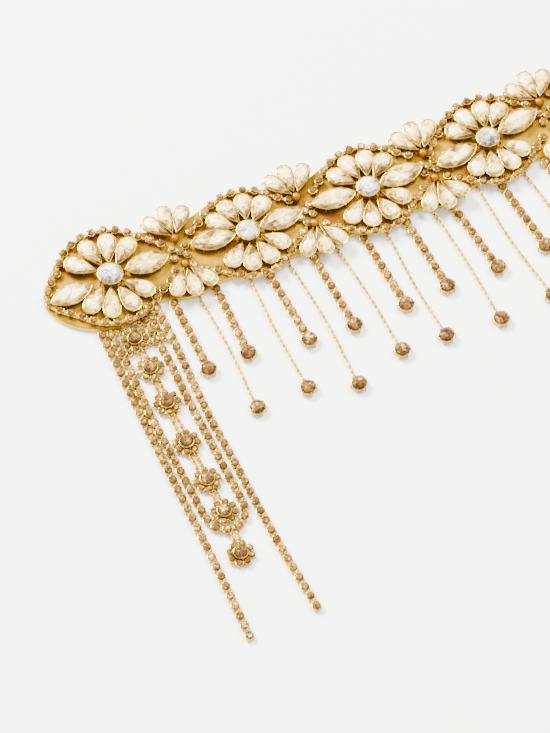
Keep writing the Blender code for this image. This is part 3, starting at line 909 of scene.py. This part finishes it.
def on_leather(point):
    """Whether the point lies inside the band's outline."""
    crossings = 0
    for one, other in zip(OUTLINE, OUTLINE[1:] + OUTLINE[:1]):
        if (one.y > point.y) != (other.y > point.y):
            share = (point.y - one.y) / (other.y - one.y)
            crossings += point.x < one.x + share * (other.x - one.x)
    return crossings % 2 == 1


def backing():
    """The gold leather band, its edges rounded over."""
    count = len(OUTLINE)
    mesh = bpy.data.meshes.new("leather_band")
    top = [point + Vector((0, 0, BACKING_THICKNESS)) for point in OUTLINE]
    faces = [list(reversed(range(count))), [count + step for step in range(count)]]
    for step in range(count):
        after = (step + 1) % count
        faces.append([step, after, count + after, count + step])
    mesh.from_pydata(OUTLINE + top, [], faces)
    mesh.materials.append(LEATHER)
    made = bpy.data.objects.new("leather_band", mesh)
    bpy.context.scene.collection.objects.link(made)
    rounded = made.modifiers.new("rounded", "BEVEL")
    rounded.width = EDGE_ROUND
    rounded.segments = EDGE_SEGMENTS
    rounded.limit_method = "ANGLE"
    rounded.angle_limit = EDGE_ANGLE
    mesh.shade_smooth()
    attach(made, "root")
    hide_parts("backing")


# Flowers and fans


def petal_form(length, width, rng):
    return set_stone(PETAL_CUT, length, width, STONE_SEAT, STONE_GIRDLE, STONE_CROWN, CLEAR, GOLD, rng)


def at_an_end(row):
    return row["name"] in (FIRST_FLOWER, LAST_FLOWER)


def petal_length(row):
    return END_PETAL_LENGTH if at_an_end(row) else PETAL_LENGTH


def petal_rows(row):
    return (row["top_angle"], row["top_step"]), (row["low_angle"], row["low_step"])


def taken_circles(row, along):
    """Circles along each stone of a flower, to keep the ring's small stones out of them."""
    made = []
    stones = [(turn, NAVETTE_LENGTH, NAVETTE_WIDTH) for turn in (180 + row["left_angle"], row["right_angle"])]
    for middle, step in petal_rows(row):
        stones += [(middle + rank * step, petal_length(row), PETAL_WIDTH) for rank in FOUR_RANKS]
    for turn, length, width in stones:
        for share in STONE_CHECKS:
            reach = PETAL_INNER_RADIUS + length * share
            middle = frame_at(along, 0, math.radians(turn)) @ Vector((reach, 0, 0))
            made.append((middle, width / 2 * min(1.0, share / WIDEST_SHARE)))
    return made


def fan_place(row):
    """The bead's place along and across the band, and the direction of the middle stone."""
    after = [flower_row[0] for flower_row in FLOWERS].index(row["after"])
    side = 1 if row["edge"] == "plain" else -1
    along = (FLOWER_ALONG[after] + FLOWER_ALONG[after + 1]) / 2 + row["along"] * MM
    return along, side * row["out"] * MM, math.radians(90 * side + row["turn"])


def fan_circles():
    made = []
    for values in FANS:
        along, across, middle_turn = fan_place(named(FAN_COLUMNS, values))
        made.append((place(along, across), FAN_BEAD_DIAMETER / 2))
        for rank in THREE_RANKS:
            turn = middle_turn + rank * FAN_STEP
            for share, half in FAN_CHECKS:
                reach = FAN_STONE_START + FAN_STONE_LENGTH * share
                middle = frame_at(along, across, turn) @ Vector((reach, 0, 0))
                made.append((middle, FAN_STONE_WIDTH / 2 * half))
    return made


FAN_CIRCLES = fan_circles()

# Where small stones stand so far, so that no later one stands in them
CUPS_PLACED = []


def crossing(pile, number, rng):
    """Small stones where the rings of two flowers cross, between the two fans' beads."""
    name = FLOWERS[number][0]
    beads = [fan_place(row)[:2] for row in (named(FAN_COLUMNS, values) for values in FANS) if row["after"] == name]
    along = sum(bead[0] for bead in beads) / len(beads)
    across = sum(bead[1] for bead in beads) / len(beads)
    for aside, above in CROSSING_CUPS:
        point = place(along + aside * MM, across + above * MM)
        CUPS_PLACED.append(point)
        lay_cup(pile, CROSSING_CUP, CROSSING_SINK, Matrix.Translation(point), rng, CROSSING_PLAY)


def is_free(point, circles):
    """Whether a cup of the ring stands clear of the cups so far and, but for a tuck, of the stones' circles."""
    if any((point - other).length < RING_CUP - CUP_CLEARANCE for other in CUPS_PLACED):
        return False
    return all((point.xy - middle.xy).length > half + RING_CUP / 2 - RING_TUCK for middle, half in circles)


def ring_radius(turn, half_pitches):
    """The small stones run round the flower and out to the crossings at its two ends."""
    radius = END_RING_RADIUS if TIP_RING_REACH in half_pitches else RING_RADIUS
    radius += RING_OFFSET * math.sin(turn)
    reach = half_pitches[1] if math.cos(turn) > 0 else half_pitches[0]
    at_tip = reach == TIP_RING_REACH
    droop = math.copysign(END_DROOP, -math.cos(turn)) if at_tip else 0.0
    away = math.degrees(math.acos(min(1.0, abs(math.cos(turn - droop)))))
    widest = END_FLARE if at_tip else RING_FLARE
    return radius + (reach - radius) * max(0.0, (widest - away) / widest)


def flower_ring(pile, number, row, along, rng):
    """Cups in a ring round a flower, with a link to the next where there is room."""
    half_pitches = []
    for other in (number - 1, number + 1):
        inside = 0 <= other < len(FLOWER_ALONG)
        half_pitches.append(abs(FLOWER_ALONG[other] - along) / 2 if inside else TIP_RING_REACH)
    circles = taken_circles(row, along) + FAN_CIRCLES
    route = []
    turn = 0.0
    while turn < 2 * math.pi:
        radius = ring_radius(turn, half_pitches)
        route.append(frame_at(along, 0) @ Vector((radius * math.cos(turn), radius * math.sin(turn), 0)))
        turn += RING_TURN_STEP
    last = None
    for point in walk(route + route[:1], RING_SPACING):
        if not is_free(point, circles):
            last = None
            continue
        CUPS_PLACED.append(point)
        lay_cup(pile, RING_CUP, RING_SINK, Matrix.Translation(point), rng, RING_PLAY)
        if last is not None:
            lift = Vector((0, 0, STONE_SEAT + RING_LINK_LIFT))
            pile.add([bar(last + lift, point + lift, RING_LINK_WIDTH, GOLD)], Matrix())
        last = point


def navette(pile, row, along, turn, own_end, rng):
    """One of a flower's two navettes; an end flower's stand further out, most of all the one at the band's tip."""
    form = set_stone(
        NAVETTE_CUT, NAVETTE_LENGTH, NAVETTE_WIDTH, STONE_SEAT, STONE_GIRDLE, STONE_CROWN, CLEAR, GOLD, rng
    )
    shift = INNER_NAVETTE_SHIFT if at_an_end(row) else 0.0
    if row["name"] == own_end:
        shift = END_NAVETTE_SHIFT
    middle = Matrix.Translation((PETAL_INNER_RADIUS + STONE_GAP + shift + NAVETTE_LENGTH / 2, 0, 0))
    lay(pile, form, frame_at(along, 0, math.radians(turn)) @ middle, STONE_GIRDLE, rng, STONE_PLAY)


def flower(number, values):
    row = named(FLOWER_COLUMNS, values)
    along = FLOWER_ALONG[number]
    rng = random.Random(FIRST_SEED + number)
    pile = Pile()
    navette(pile, row, along, 180 + row["left_angle"], FIRST_FLOWER, rng)
    navette(pile, row, along, row["right_angle"], LAST_FLOWER, rng)
    length = petal_length(row)
    middle = Matrix.Translation((PETAL_INNER_RADIUS + STONE_GAP + length / 2, 0, 0))
    for row_middle, step in petal_rows(row):
        for rank in FOUR_RANKS:
            turn = math.radians(row_middle + rank * step + rng.uniform(-PETAL_TURN_PLAY, PETAL_TURN_PLAY))
            form = petal_form(length, PETAL_WIDTH, rng)
            lay(pile, form, frame_at(along, 0, turn) @ middle, STONE_GIRDLE, rng, STONE_PLAY)
    size = END_CENTRE_DIAMETER if at_an_end(row) else CENTRE_DIAMETER
    form = set_stone(CENTRE_CUT, size, size, STONE_SEAT, CENTRE_GIRDLE, CENTRE_CROWN, COOL, GOLD, rng)
    lay(pile, form, frame_at(along, 0), CENTRE_GIRDLE, rng, CENTRE_PLAY)
    if number + 1 < len(FLOWERS):
        crossing(pile, number, rng)
    flower_ring(pile, number, row, along, rng)
    pile.make("jewelled_" + row["name"], row["name"], slot="champagne_crystal")


def fan(values):
    row = named(FAN_COLUMNS, values)
    rng = random.Random(row["name"])
    along, across, middle_turn = fan_place(row)
    pile = Pile()
    for rank in THREE_RANKS:
        turn = middle_turn + rank * FAN_STEP + rng.uniform(-FAN_TURN_PLAY, FAN_TURN_PLAY)
        middle = Matrix.Translation((FAN_STONE_START + FAN_STONE_LENGTH / 2, 0, 0))
        form = petal_form(FAN_STONE_LENGTH, FAN_STONE_WIDTH, rng)
        lay(pile, form, frame_at(along, across, turn) @ middle, STONE_GIRDLE, rng, STONE_PLAY)
    lift = STONE_SEAT + FAN_BEAD_DIAMETER / 2
    pile.add([ball(FAN_BEAD_DIAMETER, BEAD)], Matrix.Translation(place(along, across, lift)))
    pile.make("jewelled_" + row["name"], row["name"], slot="champagne_crystal")


# The fringe


def ends_of(node):
    """The start, middle and end of a strand's solid: its cap by the band, a bend if it has one, and its stone."""
    points = [vertex.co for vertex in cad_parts[node].data.vertices]
    highest = max(point.y for point in points)
    top = max(point.z for point in points)
    table = mean([point for point in points if point.z > top - TABLE_DEPTH])
    cap = mean([point for point in points if point.y > highest - CAP_DEPTH])
    between = [point for point in points if table.y + STONE_STRETCH < point.y < cap.y - CAP_STRETCH]
    middle = mean(between) if between else (cap + table) / 2
    return [Vector((point.x, point.y, 0)) for point in (cap, middle, table)]


def end_stone(pile, centre, towards, rng):
    """A round stone in a clawed cup, with a loop towards its chain."""
    size = END_STONE_DIAMETER - END_STONE_RIM
    form = set_stone(
        END_STONE_CUT, size, size, FLOOR_CLEARANCE, END_STONE_GIRDLE, END_STONE_CROWN, TOPAZ, GOLD, rng
    )
    lay(pile, form, Matrix.Translation(centre) @ any_spin(rng), END_STONE_GIRDLE, rng, END_STONE_PLAY)
    outward = (towards - centre).normalized()
    loop = centre + outward * (END_STONE_DIAMETER / 2 + END_LOOP_GAP) + Vector((0, 0, END_LOOP_LIFT))
    pile.add([oval_link(*END_LOOP, PALE)], Matrix.Translation(loop) @ heading(centre, towards))


def cup_chain(pile, route, rng, start, stop):
    """Cups on a route with a link between each two, from a start to short of its end."""
    length = sum((after - before).length for before, after in zip(route, route[1:]))
    count = max(1, int((length - start - stop) / CHAIN_PITCH + 0.5))
    even = (length - start - stop) / count
    points = walk(route, even * JUST_UNDER, start)[: count + 1]
    last = None
    for number, point in enumerate(points):
        near = points[min(number + 1, len(points) - 1)], points[max(number - 1, 0)]
        turned = Matrix.Translation(point) @ heading(near[1], near[0])
        lay_low_cup(pile, CHAIN_CUP_WIDTH, PALE, turned, rng, CHAIN_PLAY, CHAIN_CUP_LENGTH)
        if last is not None:
            lift = Vector((0, 0, LINK_LIFT))
            pile.add([bar(last + lift, point + lift, LINK_WIDTH, PALE)], Matrix())
        last = point


def up_to_leather(cap, below):
    """The chain's start, drawn up beneath the ring of small stones to the leather's edge."""
    away = min((cap - point).length for point in OUTLINE)
    return cap + (cap - below).normalized() * max(0.0, away - LEATHER_CLEARANCE)


def cup_strand(node):
    cap, middle, centre = ends_of(node)
    cap = up_to_leather(cap, middle)
    rng = random.Random(node)
    pile = Pile()
    cup_chain(pile, [cap, middle, centre], rng, STRAND_START, STRAND_STOP)
    end_stone(pile, centre, cap, rng)
    pile.make("jewelled_" + node, node, slot="pale_gold")


def fine_links(pile, route, link, material):
    """Links through each other on a route, turned by half a right angle to one side and the other."""
    length, width, wire = link
    points = walk(route, length - LINK_OVERLAP * wire)
    for number, (before, after) in enumerate(zip(points, points[1:])):
        turn = Matrix.Rotation(LINK_TURN if number % 2 else -LINK_TURN, 4, "X")
        middle = (before + after) / 2 + Vector((0, 0, width / 2))
        pile.add([oval_link(*link, material)], Matrix.Translation(middle) @ heading(before, after) @ turn)


def fine_strand(node):
    cap, middle, centre = ends_of(node)
    rng = random.Random(node)
    pile = Pile()
    stop = centre + (cap - centre).normalized() * (END_STONE_DIAMETER / 2 + FINE_STOP)
    fine_links(pile, smooth([cap, middle, stop]), FINE_LINK, FINE)
    end_stone(pile, centre, cap, rng)
    pile.make("jewelled_" + node, node, slot="pale_gold")


# The tassels


def rosette(pile, centre, rng):
    """A raised topaz ringed with small smoky stones."""
    spin = any_spin(rng)
    form = set_stone(
        ROSETTE_CUT, ROSETTE_STONE, ROSETTE_STONE, ROSETTE_SEAT, ROSETTE_GIRDLE, ROSETTE_CROWN, TOPAZ, GOLD, rng
    )
    lay(pile, form, Matrix.Translation(centre) @ spin, ROSETTE_GIRDLE, rng, ROSETTE_PLAY)
    for number in range(ROSETTE_CUPS):
        turn = 2 * math.pi * number / ROSETTE_CUPS
        at = centre + spin @ Vector((math.cos(turn), math.sin(turn), 0)) * ROSETTE_RING_RADIUS
        lay_low_cup(pile, ROSETTE_CUP, GOLD, Matrix.Translation(at), rng, ROSETTE_CUP_PLAY)


def rosette_links(pile, upper, lower):
    """Gold links side by side from one rosette to the next."""
    step = (lower - upper).normalized()
    aside = Vector((-step.y, step.x, 0)) * ROSETTE_LINK_GAP
    reach = ROSETTE_RING_RADIUS + ROSETTE_CUP / 2 - ROSETTE_LINK_TUCK
    start, end = upper + step * reach, lower - step * reach
    for offset in (aside, -aside):
        fine_links(pile, [start + offset, end + offset], ROSETTE_LINK, PALE)


def tassel_top(pile, at, routes, centre, rng):
    """Small stones that fill the tassel's top between its chains and its first rosette."""
    taken = [(other, TOP_CHAIN_CLEARANCE) for route in routes for other in route]
    taken += [(other, TOP_CUP / 2) for other in OUTLINE] + [(centre, TOP_ROSETTE_CLEARANCE)]
    rows = int((TOP_HIGH - TOP_LOW) / TOP_STEP)
    columns = int((TOP_RIGHT - TOP_LEFT) / TOP_STEP)
    for row in range(rows):
        for column in range(columns):
            point = at((TOP_LEFT + column * TOP_STEP, TOP_HIGH - row * TOP_STEP))
            if on_leather(point) or any((point - other).length < room for other, room in taken):
                continue
            taken.append((point, TOP_CUP * TOP_SPACING_SHARE))
            lay_low_cup(pile, TOP_CUP, GOLD, Matrix.Translation(point), rng, TOP_PLAY)


def tassel_chain(node, route, at, rng, start, stop):
    """One chain of a tassel, from its solid's upper end on."""
    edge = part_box(node)[1].y
    points = [point for point in smooth([at(point) for point in route]) if point.y <= edge]
    pile = Pile()
    cup_chain(pile, points, rng, start, stop)
    pile.make("jewelled_" + node, node, slot="pale_gold")
    return points


def tassel(side, end):
    under = place(FLOWER_ALONG[0 if end < 0 else -1], 0) - Vector((0, END_REACH, 0))
    rng = random.Random(side)

    def at(point):
        return under + Vector((-end * point[0], point[1], 0)) * MM

    outer = tassel_chain(side + "_outer_chain", OUTER_CHAIN_ROUTE, at, rng, TASSEL_START, TASSEL_STOP)
    inner = tassel_chain(side + "_inner_chain", INNER_CHAIN_ROUTE, at, rng, TASSEL_START, TASSEL_STOP)
    loop = tassel_chain(side + "_loop", LOOP_ROUTE, at, rng, TASSEL_START, TASSEL_START)
    centres = [at(point) for point in ROSETTE_CENTRES]
    pile = Pile()
    tassel_top(pile, at, (outer, inner, loop), centres[0], rng)
    for point in centres:
        rosette(pile, point, rng)
    for upper, lower in zip(centres, centres[1:]):
        rosette_links(pile, upper, lower)
    pile.make("jewelled_" + side + "_rosettes", side + "_rosettes", slot="smoky_stone")
    drop = at(DROP_CENTRE)
    bottom = min(loop, key=lambda point: point.y)
    step = (drop - bottom).normalized()
    pile = Pile()
    rosette(pile, drop, rng)
    rosette_links(pile, bottom - step * (ROSETTE_RING_RADIUS - DROP_LINK_TUCK), drop)
    pile.make("jewelled_" + side + "_drop", side + "_drop", slot="smoky_stone")


# The studio


def floor():
    mesh = bpy.data.meshes.new("pale_surface")
    corners = [(x * FLOOR_REACH, y * FLOOR_REACH, 0) for x, y in ((-1, -1), (1, -1), (1, 1), (-1, 1))]
    mesh.from_pydata(corners, [], [(0, 1, 2, 3)])
    made = bpy.data.objects.new("pale_surface", mesh)
    bpy.context.scene.collection.objects.link(made)
    material, nodes, links, shader = new_material("pale_surface")
    tint = object_noise(nodes, links, "noise", 3.0, 2.0)
    colours = ramp(nodes, ((0.3, (0.90, 0.90, 0.89)), (0.7, (0.92, 0.92, 0.90))))
    links.new(tint.outputs["Fac"], colours.inputs["Fac"])
    links.new(colours.outputs["Color"], shader.inputs["Base Color"])
    shader.inputs["Roughness"].default_value = 0.7
    mesh.materials.append(material)
    made.location.z = -FLOOR_DEPTH


def area_light(name, place_at, size, energy, colour=(1, 1, 1)):
    """A round soft light that faces the origin."""
    data = bpy.data.lights.new(name, "AREA")
    data.shape = "DISK"
    data.size = size
    data.energy = energy
    data.color = colour
    made = bpy.data.objects.new(name, data)
    made.location = place_at
    made.rotation_mode = "QUATERNION"
    made.rotation_quaternion = (-Vector(place_at)).to_track_quat("-Z", "Y")
    bpy.context.scene.collection.objects.link(made)


def studio():
    world = bpy.data.worlds.new("studio")
    world.use_nodes = True
    sky = world.node_tree.nodes["Background"]
    sky.inputs["Color"].default_value = (*SKY_COLOUR, 1)
    sky.inputs["Strength"].default_value = SKY_STRENGTH
    bpy.context.scene.world = world
    area_light("key", place_at=(-0.7, 1.5, 1.5), size=0.9, energy=300.0, colour=(1.0, 0.98, 0.95))
    area_light("fill", place_at=(0.9, 0.2, 1.8), size=1.0, energy=85.0)


backing()
for number, values in enumerate(FLOWERS):
    flower(number, values)
for values in FANS:
    fan(values)
for node in sorted(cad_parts):
    if node.startswith("cup_strand"):
        cup_strand(node)
    if node.startswith("fine_strand"):
        fine_strand(node)
tassel("left", -1)
tassel("right", 1)
floor()
studio()
